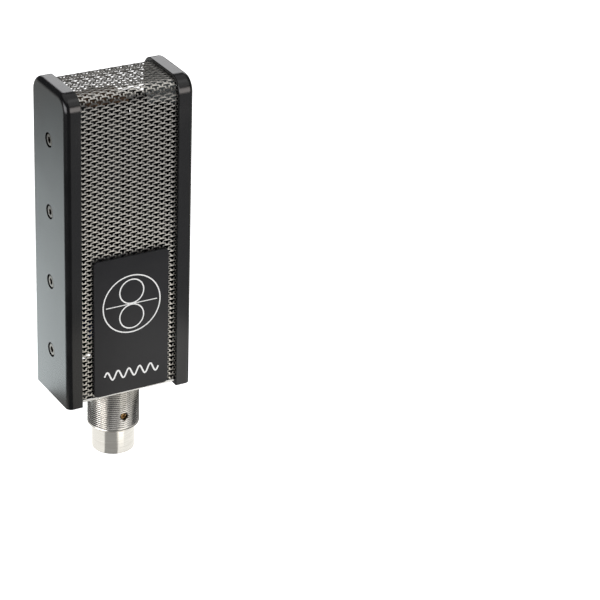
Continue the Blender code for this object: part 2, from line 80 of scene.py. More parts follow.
# Shapes that a box can't give
COVER_EDGE_RADIUS = 2.5 * MM
COVER_CORNER_RADIUS = 7.3 * MM
COUNTERBORE_RADIUS = 3.3 * MM
GROOVE_DEPTH = 0.8 * MM
SHANK_HOLE_RADIUS = 1.8 * MM
FLANGE_THICKNESS = 1.1 * MM
CORE_CLEARANCE = 0.7 * MM
NOTCH_X = 7.6 * MM
NOTCH_HALF_WIDTH = 0.4 * MM
NOTCH_DEPTH = 0.6 * MM
FOOT_COUNTERBORE_RADIUS = 3.05 * MM
FOOT_COUNTERBORE_DEPTH = 2.1 * MM
SLEEVE_RADIUS = 9.5 * MM
SLEEVE_LENGTH = 12.0 * MM
SOCKET_RADIUS = 8.2 * MM
SPIGOT_RADIUS = 8.2 * MM
WIRE_BORE_RADIUS = 6.5 * MM
BARREL_CHAMFER = 0.7 * MM
THREAD_PITCH = 1.0 * MM
THREAD_DEPTH = 0.45 * MM
LOCK_HOLE_RADIUS = 2.0 * MM
LOCK_HOLE_DEPTH = 2.5 * MM
LOCK_BORE_RADIUS = 1.25 * MM
LOCK_SCREW_RECESS = 0.6 * MM
PIN_HOLE_RADIUS = 1.5 * MM
PIN_TIP_RADIUS = 0.7 * MM

# Expanded metal: the opening's long and short way, the strand's width, thickness and lean, and where
# its two edges rise from a dip to the next crown, measured from the middle of the dip; then the
# depth that the bent sheet's edge takes up
LONG_WAY = 5.26 * MM
SHORT_WAY = 2.33 * MM
STRAND_WIDTH = 0.33 * MM
STRAND_THICKNESS = 0.18 * MM
STRAND_LEAN = math.radians(-14)
LOWER_EDGE_RISE = (0.9 * MM, 1.25 * MM)
UPPER_EDGE_RISE = (0.27 * MM, 0.75 * MM)
SHEET_DEPTH = 0.8 * MM

# Camera, fitted to the edges of the microphone
CAMERA_AZIMUTH = 30.545
CAMERA_ELEVATION = 26.796
CAMERA_ROLL = 2.140
CAMERA_DISTANCE = 1.0791
CAMERA_TARGET = Vector((0.0, 0.0, 0.100))
AIM_RIGHT = 0.08072
AIM_DOWN = 0.02467
LENS = 150.0

# Soft boxes of the studio.  Each is the bearing of its middle from the camera's side (degrees, right
# positive), its half width and its soft edge, the same three for its height, and its colour.
# Heights are degrees above the horizon.
SKY_BASE = (0.10, 0.10, 0.105)
SKY_BOXES = (
    (180, 14, 12, 21, 8, 8, (0.9, 0.9, 0.92)),
    (57, 14, 12, 3, 10, 8, (1.0, 0.95, 0.92)),
    (-48, 18, 14, 3, 11, 10, (4.4, 4.4, 4.5)),
    (66, 22, 20, 45, 12, 14, (0.8, 0.8, 0.78)),
    (0, 180, 1, 90, 32, 14, (0.6, 0.6, 0.6)),
    (180, 75, 18, -50, 40, 12, (0.45, 0.45, 0.43)),
    (66, 12, 10, -50, 38, 12, (0.42, 0.42, 0.43)),
    (74, 16, 10, -62, 12, 10, (1.1, 1.08, 1.05)),
)

# Two more boxes, which only the covers mirror, and their distance
COVER_BOXES = (
    (180, 14, 12, 21, 8, 8, (2.3, 2.3, 2.33)),
    (57, 14, 12, 3, 10, 8, (4.4, 4.1, 3.95)),
)
COVER_BOX_DISTANCE = 1.2

# What the glossy table throws back close to the microphone; here the heights are millimetres out
# from the middle of the card, which is shifted a little towards the camera
TABLE_RADIUS = 150 * MM
TABLE_CARD_SHIFT = 5.3 * MM
TABLE_BASE = (0.12, 0.12, 0.12)
TABLE_BOXES = (
    (0, 180, 1, 0, 32, 3, (0.25, 0.25, 0.24)),
    (177, 140, 5, 0, 32, 3, (0.75, 0.75, 0.73)),
    (-60, 20, 4, 62, 27, 4, (0.85, 0.82, 0.76)),
    (46, 17, 4, 80, 45, 30, (0.85, 0.82, 0.76)),
    (-116, 34, 4, 60, 25, 4, (0.3, 0.29, 0.27)),
    (107, 42, 4, 60, 25, 4, (0.42, 0.41, 0.38)),
    (80, 24, 8, 125, 40, 10, (1.15, 1.14, 1.11)),
)

# The lit table that the left cover mirrors: levels near and far, and across, and colour
SIDE_CARD_START = 0.06
SIDE_CARD_END = 0.42
SIDE_CARD_HALF_WIDTH = 0.09
SIDE_CARD_LEVELS = (2.4, 0.38)
SIDE_CARD_COLOUR = (0.92, 1.0, 1.01)
SIDE_CARD_ACROSS = (0.1, 1.9)


# Materials ----------------------------------------------------------------------------------

def surface(name, colour, roughness, metallic=0.0, specular=0.5):
    """A material whose uniform values sit on the shader's own sockets."""
    made = bpy.data.materials.new(name)
    made.use_nodes = True
    shader = made.node_tree.nodes["Principled BSDF"]
    shader.inputs["Base Color"].default_value = (*colour, 1.0)
    shader.inputs["Roughness"].default_value = roughness
    shader.inputs["Metallic"].default_value = metallic
    shader.inputs["Specular IOR Level"].default_value = specular
    return made


def noise(made, scale, detail=2.0, stretch=(1.0, 1.0, 1.0)):
    """A noise texture in the object's own metres, its cells about 1 / scale metres across."""
    tree = made.node_tree
    place = tree.nodes.new("ShaderNodeTexCoord")
    mapping = tree.nodes.new("ShaderNodeMapping")
    mapping.inputs["Scale"].default_value = stretch
    texture = tree.nodes.new("ShaderNodeTexNoise")
    texture.inputs["Scale"].default_value = scale
    texture.inputs["Detail"].default_value = detail
    tree.links.new(place.outputs["Object"], mapping.inputs["Vector"])
    tree.links.new(mapping.outputs["Vector"], texture.inputs["Vector"])
    return texture


def tint(made, dark, light, texture):
    """Base colour that wanders between two tones."""
    tree = made.node_tree
    ramp = tree.nodes.new("ShaderNodeValToRGB")
    ramp.color_ramp.elements[0].position = 0.3
    ramp.color_ramp.elements[0].color = (*dark, 1.0)
    ramp.color_ramp.elements[1].position = 0.7
    ramp.color_ramp.elements[1].color = (*light, 1.0)
    tree.links.new(texture.outputs["Fac"], ramp.inputs["Fac"])
    tree.links.new(ramp.outputs["Color"], tree.nodes["Principled BSDF"].inputs["Base Color"])


def vary_roughness(made, low, high, texture):
    tree = made.node_tree
    spread = tree.nodes.new("ShaderNodeMapRange")
    spread.inputs["From Min"].default_value = 0.3
    spread.inputs["From Max"].default_value = 0.7
    spread.inputs["To Min"].default_value = low
    spread.inputs["To Max"].default_value = high
    tree.links.new(texture.outputs["Fac"], spread.inputs["Value"])
    tree.links.new(spread.outputs["Result"], tree.nodes["Principled BSDF"].inputs["Roughness"])


def bump(made, depth, texture):
    """Relief of a given depth in metres."""
    tree = made.node_tree
    relief = tree.nodes.new("ShaderNodeBump")
    relief.inputs["Distance"].default_value = depth
    relief.inputs["Strength"].default_value = 1.0
    tree.links.new(texture.outputs["Fac"], relief.inputs["Height"])
    tree.links.new(relief.outputs["Normal"], tree.nodes["Principled BSDF"].inputs["Normal"])


def satin_paint(name, dark, light, roughness, specular, grain, depth):
    """Black satin enamel: fine orange peel, slightly uneven gloss and tone."""
    made = surface(name, dark, roughness, specular=specular)
    broad = noise(made, 60.0, 3.0)
    tint(made, dark, light, broad)
    vary_roughness(made, roughness - 0.03, roughness + 0.05, broad)
    bump(made, depth, noise(made, grain, 2.0))
    return made


def metal(name, dark, light, rough_low, rough_high, scale, stretch, depth):
    """Bare or plated metal: tone and gloss vary, with fine marks along the stretch."""
    made = surface(name, light, rough_low, metallic=1.0)
    marks = noise(made, scale, 4.0, stretch)
    tint(made, dark, light, marks)
    vary_roughness(made, rough_low, rough_high, marks)
    if depth:
        bump(made, depth, marks)
    return made


def plastic(name, dark, light, roughness, scale, depth):
    made = surface(name, dark, roughness)
    grain = noise(made, scale, 3.0)
    tint(made, dark, light, grain)
    vary_roughness(made, roughness - 0.05, roughness + 0.08, grain)
    bump(made, depth, grain)
    return made


# Stretches of the marks on turned, drawn, stacked and wound metal, and of even ones
TURNED = (1.0, 1.0, 30.0)
DRAWN = (30.0, 1.0, 1.0)
STACKED = (1.0, 25.0, 1.0)
WOUND = (1.0, 1.0, 18.0)
EVEN = (1.0, 1.0, 1.0)

# Name, dark tone, light tone, roughness, specular level, grain scale and grain depth
PAINTS = (
    ("cover_black", (0.002, 0.0022, 0.0025), (0.0035, 0.0037, 0.004), 0.2, 0.5, 2200.0, 0.004 * MM),
    ("plate_black", (0.012, 0.012, 0.014), (0.016, 0.016, 0.018), 0.42, 0.35, 3500.0, 0.004 * MM),
    # motor_black: the motor's black paint; the chassis rails take it too, as painted shade where bare metal
    # would show through the grille
    ("motor_black", (0.003, 0.003, 0.0035), (0.006, 0.006, 0.0065), 0.5, 0.15, 2200.0, 0.004 * MM),
    # magnet_black: the plated magnets are painted black as painted shade inside the grille
    ("magnet_black", (0.004, 0.004, 0.0045), (0.008, 0.008, 0.009), 0.45, 0.2, 2200.0, 0.004 * MM),
)

# Name, dark tone, light tone, least and most roughness, scale, stretch and depth of the marks
METALS = (
    ("bright_steel", (0.55, 0.54, 0.52), (0.7, 0.69, 0.67), 0.2, 0.34, 900.0, EVEN, 0.0),
    ("grille_nickel", (0.56, 0.54, 0.5), (0.7, 0.68, 0.64), 0.3, 0.44, 500.0, EVEN, 0.0),
    ("barrel_nickel", (0.68, 0.65, 0.61), (0.78, 0.76, 0.72), 0.13, 0.2, 90.0, TURNED, 0.001 * MM),
    ("satin_aluminium", (0.66, 0.66, 0.65), (0.78, 0.78, 0.77), 0.28, 0.4, 120.0, DRAWN, 0.002 * MM),
    # brass: the swing from near-black to bright tone paints shade and glints on the recessed lock screw
    ("brass", (0.06, 0.03, 0.01), (0.62, 0.38, 0.16), 0.22, 0.4, 900.0, EVEN, 0.0),
    # the foil's near-black tones are painted shade: the aluminium ribbon is bright, but lies in shade inside
    # the motor
    ("foil", (0.05, 0.05, 0.052), (0.09, 0.09, 0.092), 0.4, 0.55, 1200.0, DRAWN, 0.003 * MM),
    ("screw_steel", (0.07, 0.06, 0.05), (0.22, 0.2, 0.18), 0.24, 0.4, 900.0, EVEN, 0.0),
    # a darker copy of the bright steel: painted shade for metal that sits in shade inside the grille
    ("painted_shade_steel", (0.05, 0.05, 0.05), (0.12, 0.12, 0.12), 0.3, 0.45, 900.0, EVEN, 0.0),
    ("core_grey", (0.1, 0.1, 0.11), (0.2, 0.2, 0.21), 0.4, 0.55, 300.0, STACKED, 0.006 * MM),
    ("coil_copper", (0.42, 0.17, 0.06), (0.66, 0.32, 0.14), 0.3, 0.45, 300.0, WOUND, 0.02 * MM),
)

# Name, dark tone, light tone, roughness, grain scale and grain depth
PLASTICS = (
    ("print_white", (0.78, 0.78, 0.77), (0.86, 0.86, 0.85), 0.5, 2500.0, 0.002 * MM),
    ("insert_black", (0.014, 0.014, 0.014), (0.024, 0.024, 0.024), 0.45, 1500.0, 0.003 * MM),
    ("phenolic_brown", (0.045, 0.02, 0.01), (0.14, 0.075, 0.03), 0.42, 700.0, 0.004 * MM),
    ("rubber_black", (0.006, 0.006, 0.006), (0.011, 0.011, 0.011), 0.75, 1800.0, 0.006 * MM),
    ("board_green", (0.012, 0.09, 0.035), (0.02, 0.15, 0.06), 0.35, 500.0, 0.004 * MM),
    ("sleeve_blue", (0.02, 0.04, 0.14), (0.03, 0.06, 0.2), 0.3, 900.0, 0.002 * MM),
    ("wire_red", (0.4, 0.02, 0.015), (0.55, 0.04, 0.03), 0.4, 900.0, 0.002 * MM),
    ("wire_white", (0.68, 0.68, 0.65), (0.78, 0.78, 0.75), 0.4, 900.0, 0.002 * MM),
    ("wire_black", (0.012, 0.012, 0.012), (0.022, 0.022, 0.022), 0.4, 900.0, 0.002 * MM),
)


def make_materials():
    made = {row[0]: satin_paint(*row) for row in PAINTS}
    made.update({row[0]: metal(*row) for row in METALS})
    made.update({row[0]: plastic(*row) for row in PLASTICS})
    return made


# Mesh helpers -------------------------------------------------------------------------------

def new_object(name, mesh, finish):
    made = bpy.data.objects.new(name, mesh)
    bpy.context.scene.collection.objects.link(made)
    mesh.materials.clear()
    mesh.materials.append(FINISH[finish])
    return made


def smooth(mesh, angle):
    mesh.shade_smooth()
    mesh.set_sharp_from_angle(angle=math.radians(angle))


def from_rings(name, rings, finish, closed=False, angle=35):
    """Bridge rings of equal length into one solid; the ends are capped unless it is closed."""
    work = bmesh.new()
    loops = [[work.verts.new(point) for point in ring] for ring in rings]
    pairs = list(zip(loops, loops[1:]))
    if closed:
        pairs.append((loops[-1], loops[0]))
    for low, high in pairs:
        for step in range(len(low)):
            after = (step + 1) % len(low)
            work.faces.new((low[step], low[after], high[after], high[step]))
    if not closed:
        work.faces.new(list(reversed(loops[0])))
        work.faces.new(loops[-1])
    bmesh.ops.recalc_face_normals(work, faces=work.faces)
    mesh = bpy.data.meshes.new(name)
    work.to_mesh(mesh)
    work.free()
    smooth(mesh, angle)
    return new_object(name, mesh, finish)


def arc(centre_u, centre_v, radius, start, end, steps):
    points = []
    for step in range(steps + 1):
        angle = math.radians(start + (end - start) * step / steps)
        points.append((centre_u + radius * math.cos(angle), centre_v + radius * math.sin(angle)))
    return points


def rounded_rectangle(low_u, high_u, low_v, high_v, radius, steps):
    points = arc(high_u - radius, high_v - radius, radius, 0, 90, steps)
    points += arc(low_u + radius, high_v - radius, radius, 90, 180, steps)
    points += arc(low_u + radius, low_v + radius, radius, 180, 270, steps)
    points += arc(high_u - radius, low_v + radius, radius, 270, 360, steps)
    return points


def on_axis(axis, along, u, v):
    if axis == "X":
        return (along, u, v)
    if axis == "Y":
        return (u, along, v)
    return (u, v, along)


def prism(name, finish, outline, axis, start, end, angle=35):
    rings = [[on_axis(axis, along, u, v) for u, v in outline] for along in (start, end)]
    return from_rings(name, rings, finish, angle=angle)


def hexagon_radius(flats, angle):
    sector = math.radians(60)
    offset = (angle % sector) - sector / 2
    return flats / 2 / math.cos(offset)


def turned_rings(profile, segments):
    """Rings about Z from a profile of (radius, z) or ("hex", flats, z) entries."""
    rings = []
    for entry in profile:
        ring = []
        for step in range(segments):
            angle = 2 * math.pi * step / segments
            radius = hexagon_radius(entry[1], angle) if entry[0] == "hex" else entry[0]
            ring.append((radius * math.cos(angle), radius * math.sin(angle), entry[-1]))
        rings.append(ring)
    return rings


def turned(name, finish, profile, segments, closed=False, angle=35):
    return from_rings(name, turned_rings(profile, segments), finish, closed, angle)


def drill(radius, start, end, axis, u, v, segments=64):
    outline = arc(u, v, radius, 0, 360 * (segments - 1) / segments, segments - 1)
    return prism("drill", "bright_steel", outline, axis, start, end)


def carve(target, tools, angle=35):
    """Cut the tools from the target for good, and remove them."""
    for tool in tools:
        modifier = target.modifiers.new("carve", "BOOLEAN")
        modifier.operation = "DIFFERENCE"
        modifier.solver = "EXACT"
        modifier.object = tool
    graph = bpy.context.evaluated_depsgraph_get()
    mesh = bpy.data.meshes.new_from_object(target.evaluated_get(graph))
    target.modifiers.clear()
    target.data = mesh
    smooth(mesh, angle)
    for tool in tools:
        bpy.data.objects.remove(tool, do_unlink=True)
    even = target.modifiers.new("even_shading", "WEIGHTED_NORMAL")
    even.keep_sharp = True


def put(piece, body="housing", nodes=()):
    """Say what the piece rides on and which CAD nodes it stands for; those nodes are hidden."""
    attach(piece, body)
    if nodes:
        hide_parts(*nodes)
    return piece


# Covers and their screws --------------------------------------------------------------------

def cover_outline(inset, steps=24):
    half = COVER_HIGH.y - inset
    top = COVER_HIGH.z - inset
    radius = COVER_CORNER_RADIUS - inset
    points = [(-half, COVER_LOW.z)]
    points += arc(-half + radius, top - radius, radius, 180, 90, steps)
    points += arc(half - radius, top - radius, radius, 90, 0, steps)
    points.append((half, COVER_LOW.z))
    return points


def groove_outline():
    """The band that the grille's side edge needs in a cover, as (y, z)."""

    def one_pass(offset):
        half = GRILLE_HIGH.y + offset
        top = GRILLE_HIGH.z + offset
        radius = COVER_CORNER_RADIUS - (COVER_HIGH.z - GRILLE_HIGH.z) + offset
        points = [(-half, GRILLE_LOW.z - GAP)]
        points += arc(-half + radius, top - radius, radius, 180, 90, 12)
        points += arc(half - radius, top - radius, radius, 90, 0, 12)
        points.append((half, GRILLE_LOW.z - GAP))
        return points
    return one_pass(GAP) + list(reversed(one_pass(-SHEET_DEPTH - GAP)))


def cover(side, word):
    """A thick cover: sharp inside edge with a hair of a chamfer, wide round outside edge."""
    inner, outer = side * COVER_LOW.x, side * COVER_HIGH.x
    hair = 0.2 * MM
    rings = [[(inner, y, z) for y, z in cover_outline(hair)]]
    rings.append([(inner + side * hair, y, z) for y, z in cover_outline(0.0)])
    steps = 12
    for step in range(steps + 1):
        angle = math.radians(90 * step / steps)
        inset = COVER_EDGE_RADIUS * (1 - math.cos(angle))
        x = outer - side * COVER_EDGE_RADIUS * (1 - math.sin(angle))
        rings.append([(x, y, z) for y, z in cover_outline(inset)])
    made = from_rings(f"cover_{word}", rings, "cover_black")
    tools = []
    for index in range(1, 5):
        low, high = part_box(f"cover_screw_{word}_{index}")
        middle = (low + high) / 2
        head_x = high.x if side > 0 else low.x
        floor_x = head_x - side * (COVER_SCREW[1] + GAP)
        for radius, start, end in ((COUNTERBORE_RADIUS, floor_x, outer + side * MM),
                                   (SHANK_HOLE_RADIUS, inner - side * MM, floor_x + side * MM)):
            tools.append(drill(radius, start, end, "X", middle.y, middle.z))
    tools.append(prism("groove", "cover_black", groove_outline(), "X",
                       inner - side * MM, inner + side * GROOVE_DEPTH))
    carve(made, tools)
    put(made, nodes=[f"side_cover_{word}"])


def socket_screw_mesh(head_radius, head_height, shank_radius, length, flats):
    """A socket head screw along Z, its head's top face at z = 0."""
    edge = 0.14 * head_radius
    depth = 0.55 * head_height
    lip = 0.12 * MM
    profile = [("hex", flats, -depth), ("hex", flats, -lip), ("hex", flats + 2 * lip, 0.0)]
    for radius, z in arc(head_radius - edge, -edge, edge, 90, 0, 5):
        profile.append((radius, z))
    profile += [(head_radius, -head_height + 0.2 * MM), (head_radius - 0.2 * MM, -head_height)]
    profile += [(shank_radius, -head_height), (shank_radius, -head_height - length + 0.4 * MM)]
    profile.append((shank_radius - 0.4 * MM, -head_height - length))
    made = turned("screw", "bright_steel", profile, 48, angle=30)
    mesh = made.data
    bpy.data.objects.remove(made, do_unlink=True)
    return mesh


def screw_at(name, mesh, finish, location, rotation, node):
    made = bpy.data.objects.new(name, mesh)
    bpy.context.scene.collection.objects.link(made)
    mesh.materials.clear()
    mesh.materials.append(FINISH[finish])
    made.location = location
    made.rotation_euler = [math.radians(angle) for angle in rotation]
    put(made, nodes=[node])


def cover_screws():
    mesh = socket_screw_mesh(*COVER_SCREW)
    for word, side in (("left", -1), ("right", 1)):
        for index in range(1, 5):
            low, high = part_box(f"cover_screw_{word}_{index}")
            middle = (low + high) / 2
            head_x = high.x if side > 0 else low.x
            twist = 17.0 * index * side
            turn = (Matrix.Rotation(math.radians(90 * side), 4, "Y") @
                    Matrix.Rotation(math.radians(twist), 4, "Z")).to_euler()
            screw_at(f"screw_{word}_{index}", mesh, "screw_steel",
                     (head_x, middle.y, middle.z), [math.degrees(angle) for angle in turn],
                     f"cover_screw_{word}_{index}")


# Grille -------------------------------------------------------------------------------------

def grille_path():
    """The length of the bent sheet, and a function from a distance along it.

    The function gives the sheet's (y, z) and its outward normal, for arrays.
    """
    rise = STRAND_WIDTH * math.sin(abs(STRAND_LEAN)) + STRAND_THICKNESS / 2 * math.cos(STRAND_LEAN)
    half = GRILLE_HIGH.y - rise
    top = GRILLE_HIGH.z - rise
    radius = COVER_CORNER_RADIUS - (COVER_HIGH.z - GRILLE_HIGH.z) - rise
    leg = top - radius - GRILLE_LOW.z
    bend = math.pi / 2 * radius
    roof = 2 * (half - radius)
    total = 2 * leg + 2 * bend + roof

    def at(s):
        angle = np.zeros_like(s)
        y = np.full_like(s, -half)
        z = GRILLE_LOW.z + s
        first = (s > leg) & (s <= leg + bend)
        angle[first] = (s[first] - leg) / radius
        y[first] = -half + radius - radius * np.cos(angle[first])
        z[first] = top - radius + radius * np.sin(angle[first])
        flat = (s > leg + bend) & (s <= leg + bend + roof)
        angle[flat] = math.pi / 2
        y[flat] = -half + radius + s[flat] - leg - bend
        z[flat] = top
        second = (s > leg + bend + roof) & (s <= leg + 2 * bend + roof)
        angle[second] = math.pi / 2 + (s[second] - leg - bend - roof) / radius
        y[second] = half - radius - radius * np.cos(angle[second])
        z[second] = top - radius + radius * np.sin(angle[second])
        down = s > leg + 2 * bend + roof
        angle[down] = math.pi
        y[down] = half
        z[down] = top - radius - (s[down] - leg - 2 * bend - roof)
        return y, z, -np.cos(angle), np.sin(angle)
    return total, at


def strand_stations():
    """Positions across the grille: the ends, the middle of every bond and points on every rise."""
    half_period = LONG_WAY / 2
    steps = 5
    start, end = GRILLE_LOW.x, GRILLE_HIGH.x
    near = [low + (high - low) * step / steps
            for low, high in (LOWER_EDGE_RISE, UPPER_EDGE_RISE) for step in range(steps + 1)]
    offsets = sorted([0.0] + near + [half_period - offset for offset in near])
    stations = [start, end]
    for period in range(math.floor(start / half_period), math.ceil(end / half_period)):
        for offset in offsets:
            x = period * half_period + offset
            if start + 0.01 * MM < x < end - 0.01 * MM:
                stations.append(x)
    return np.array(sorted(stations))


def risen(from_dip, rise):
    """0 in the dip, 1 on the crown, with a smooth rise between."""
    ramp = np.clip((from_dip - rise[0]) / (rise[1] - rise[0]), 0, 1)
    return ramp * ramp * (3 - 2 * ramp)


def grille():
    """Raised expanded metal: leaning strands that run in flat arches with sharp dips between them.

    Strand j runs across between bond rows j and j + 1.  Each of its dips is one with the crown of
    the arch below, and the two make one leaning face there.
    """
    total, at = grille_path()
    rows = round(total / (SHORT_WAY / 2))
    pitch = total / rows
    x = strand_stations()
    phase = np.mod(x, LONG_WAY)
    away = np.minimum(phase, LONG_WAY - phase)
    along_s, along_n = math.cos(STRAND_LEAN) * STRAND_WIDTH, -math.sin(STRAND_LEAN) * STRAND_WIDTH
    out_s, out_n = math.sin(STRAND_LEAN) * STRAND_THICKNESS / 2, math.cos(STRAND_LEAN) * STRAND_THICKNESS / 2
    blocks = []

    def add(s, n):
        y, z, ny, nz = at(s)
        blocks.append(np.column_stack([x, y + n * ny, z + n * nz]))
        return (len(blocks) - 1) * len(x) + np.arange(len(x))

    low_ids, high_ids, rises = [], [], []
    for j in range(rows):
        from_dip = away if j % 2 == 0 else LONG_WAY / 2 - away
        low_rise, high_rise = risen(from_dip, LOWER_EDGE_RISE), risen(from_dip, UPPER_EDGE_RISE)
        low_s, low_n = j * pitch + low_rise * (pitch - along_s), -low_rise * along_n
        high_s = j * pitch + along_s + high_rise * (pitch - along_s)
        high_n = (1 - high_rise) * along_n
        dip = from_dip < LOWER_EDGE_RISE[0] + 0.001 * MM
        peak = from_dip > LONG_WAY / 2 - LOWER_EDGE_RISE[0] - 0.001 * MM
        low, high = [], []
        for face in (1, -1):
            low.append(add(low_s + face * out_s, low_n + face * out_n))
            high.append(add(high_s + face * out_s, high_n + face * out_n))
        if j > 0:
            for face in (0, 1):
                high_ids[-1][face][dip] = low[face][dip]
        low_ids.append(low)
        high_ids.append(high)
        rises.append((dip, peak))

    quads = []
    for j in range(rows):
        (low_out, low_in), (high_out, high_in) = low_ids[j], high_ids[j]
        dip, peak = rises[j]
        walls = [
            (low_out, high_out, None),
            (high_in, low_in, None),
            (low_in, low_out, dip if j > 0 else None),
            (high_out, high_in, peak if j < rows - 1 else None),
        ]
        for first, second, joined in walls:
            wall = np.column_stack([first[:-1], first[1:], second[1:], second[:-1]])
            quads.append(wall if joined is None else wall[~(joined[:-1] & joined[1:])])
        quads.append(np.array([[low_out[0], high_out[0], high_in[0], low_in[0]]]))
        quads.append(np.array([[low_in[-1], high_in[-1], high_out[-1], low_out[-1]]]))
    faces = np.concatenate(quads)
    used, compact = np.unique(faces, return_inverse=True)
    points = np.concatenate(blocks)[used]
    mesh = bpy.data.meshes.new("grille_mesh")
    mesh.from_pydata(points.tolist(), [], compact.reshape(faces.shape).tolist())
    mesh.update()
    smooth(mesh, 50)
    put(new_object("grille_mesh", mesh, "grille_nickel"), nodes=["grille"])


# Badge plate --------------------------------------------------------------------------------

def badge_plate():
    """A thin plate with a fine rounded front edge."""
    edge = 0.22 * MM
    corner = 2.0 * MM
    steps = 12

    def ring(inset, y):
        outline = rounded_rectangle(PLATE_LOW.x + inset, PLATE_HIGH.x - inset, PLATE_LOW.z + inset,
                                    PLATE_HIGH.z - inset, corner - inset, steps)
        return [(u, y, v) for u, v in outline]
    rings = [ring(0.0, PLATE_HIGH.y)]
    for inset, drop in arc(edge, edge, edge, 180, 270, 4):
        rings.append(ring(inset, PLATE_LOW.y + drop))
    made = from_rings("badge_plate", rings, "plate_black", angle=50)
    put(made, nodes=["front_plate"])


def stroke(work, points, width, y_front, y_back, closed):
    """A flat printed line of constant width along points in the plate's plane, as a thin solid."""
    count = len(points)
    sides = []
    for index, (u, v) in enumerate(points):
        before = points[index - 1] if closed or index > 0 else points[index]
        after = points[(index + 1) % count] if closed or index < count - 1 else points[index]
        along = Vector((after[0] - before[0], after[1] - before[1])).normalized()
        normal = Vector((-along.y, along.x)) * width / 2
        sides.append(((u + normal.x, v + normal.y), (u - normal.x, v - normal.y)))
    rings = []
    for (au, av), (bu, bv) in sides:
        corners = [(au, y_back, av), (au, y_front, av), (bu, y_front, bv), (bu, y_back, bv)]
        rings.append([work.verts.new(corner) for corner in corners])
    pairs = list(zip(rings, rings[1:]))
    if closed:
        pairs.append((rings[-1], rings[0]))
    for low, high in pairs:
        for step in range(4):
            after = (step + 1) % 4
            work.faces.new((low[step], low[after], high[after], high[step]))
    if not closed:
        work.faces.new(list(reversed(rings[0])))
        work.faces.new(rings[-1])


def printed(name, strokes):
    ink = 0.03 * MM
    work = bmesh.new()
    for points, width, closed in strokes:
        stroke(work, points, width, PLATE_LOW.y - ink, PLATE_LOW.y, closed)
    bmesh.ops.recalc_face_normals(work, faces=work.faces)
    mesh = bpy.data.meshes.new(name)
    work.to_mesh(mesh)
    work.free()
    put(new_object(name, mesh, "print_white"))


def badge_print():
    """A generic figure-of-eight pickup pattern in a ring, and a plain wave line below it."""
    centre_x = (PLATE_LOW.x + PLATE_HIGH.x) / 2
    height = PLATE_HIGH.z - PLATE_LOW.z
    centre_z = PLATE_LOW.z + 0.65 * height
    ring_radius = 13.6 * MM
    lobe_radius = 5.7 * MM
    line = 0.55 * MM
    full = 360 * 71 / 72
    strokes = [(arc(centre_x, centre_z, ring_radius, 0, full, 71), line, True)]
    for side in (-1, 1):
        lobe_z = centre_z + side * (lobe_radius + line / 2)
        strokes.append((arc(centre_x, lobe_z, lobe_radius, 0, full, 71), line, True))
        near, far = centre_x + side * 1.2 * MM, centre_x + side * (ring_radius - 1.4 * MM)
        strokes.append(([(near, centre_z), (far, centre_z)], 0.4 * MM, False))
    printed("pattern_symbol", strokes)

    wave_z = PLATE_LOW.z + 0.142 * height
    half_width = 13.0 * MM
    swing = 2.0 * MM
    waves = 5
    count = 120
    points = []
    for step in range(count + 1):
        share = step / count
        u = centre_x - half_width + 2 * half_width * share
        points.append((u, wave_z + swing * math.sin(2 * math.pi * waves * share)))
    printed("wave_line", [(points, 0.75 * MM, False)])


# Bottom plate and barrel --------------------------------------------------------------------

def bottom_plate():
    """The flange under the grille's edge and the core inside it, with fine chamfers; the core takes the dark
    steel finish as painted shade.
    """
    core = GRILLE_HIGH.y - SHEET_DEPTH - CORE_CLEARANCE
    flange_top = BASE_LOW.z + FLANGE_THICKNESS
    hair = 0.15 * MM
    half = BASE_HIGH.y
    outline = [(-half + hair, BASE_LOW.z), (half - hair, BASE_LOW.z), (half, BASE_LOW.z + hair),
               (half, flange_top - hair), (half - hair, flange_top), (core, flange_top),
               (core, BASE_HIGH.z), (-core, BASE_HIGH.z), (-core, flange_top),
               (-half + hair, flange_top), (-half, flange_top - hair), (-half, BASE_LOW.z + hair)]
    made = prism("base_plate", "satin_aluminium", outline, "X", BASE_LOW.x, BASE_HIGH.x)
    notch_left, notch_right = NOTCH_X - NOTCH_HALF_WIDTH, NOTCH_X + NOTCH_HALF_WIDTH
    notch = [(notch_left, -half - MM), (notch_right, -half - MM),
             (notch_right, -half + NOTCH_DEPTH), (notch_left, -half + NOTCH_DEPTH)]
    tools = [drill(SPIGOT_RADIUS + GAP, BASE_LOW.z - MM, BASE_HIGH.z + MM, "Z", 0, 0, 96),
             prism("notch", "satin_aluminium", notch, "Z", BASE_LOW.z - MM, flange_top + MM)]
    mesh = socket_screw_mesh(*FOOT_SCREW)
    for word in ("left", "right"):
        low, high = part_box(f"foot_screw_{word}")
        x = (low.x + high.x) / 2
        tools.append(drill(SHANK_HOLE_RADIUS, BASE_LOW.z - MM, BASE_HIGH.z + MM, "Z", x, 0))
        tools.append(drill(FOOT_COUNTERBORE_RADIUS, BASE_LOW.z - MM, BASE_LOW.z + FOOT_COUNTERBORE_DEPTH,
                           "Z", x, 0))
        screw_at(f"foot_{word}", mesh, "bright_steel", (x, 0, low.z), (180, 0, 24),
                 f"foot_screw_{word}")
    carve(made, tools, 30)
    # painted shade: the faces above the flange take the dark steel finish, darkening the core seen through
    # the grille
    made.data.materials.append(FINISH["painted_shade_steel"])
    for face in made.data.polygons:
        face.material_index = int(face.center.z > flange_top + hair)
    put(made, nodes=["bottom_plate"])


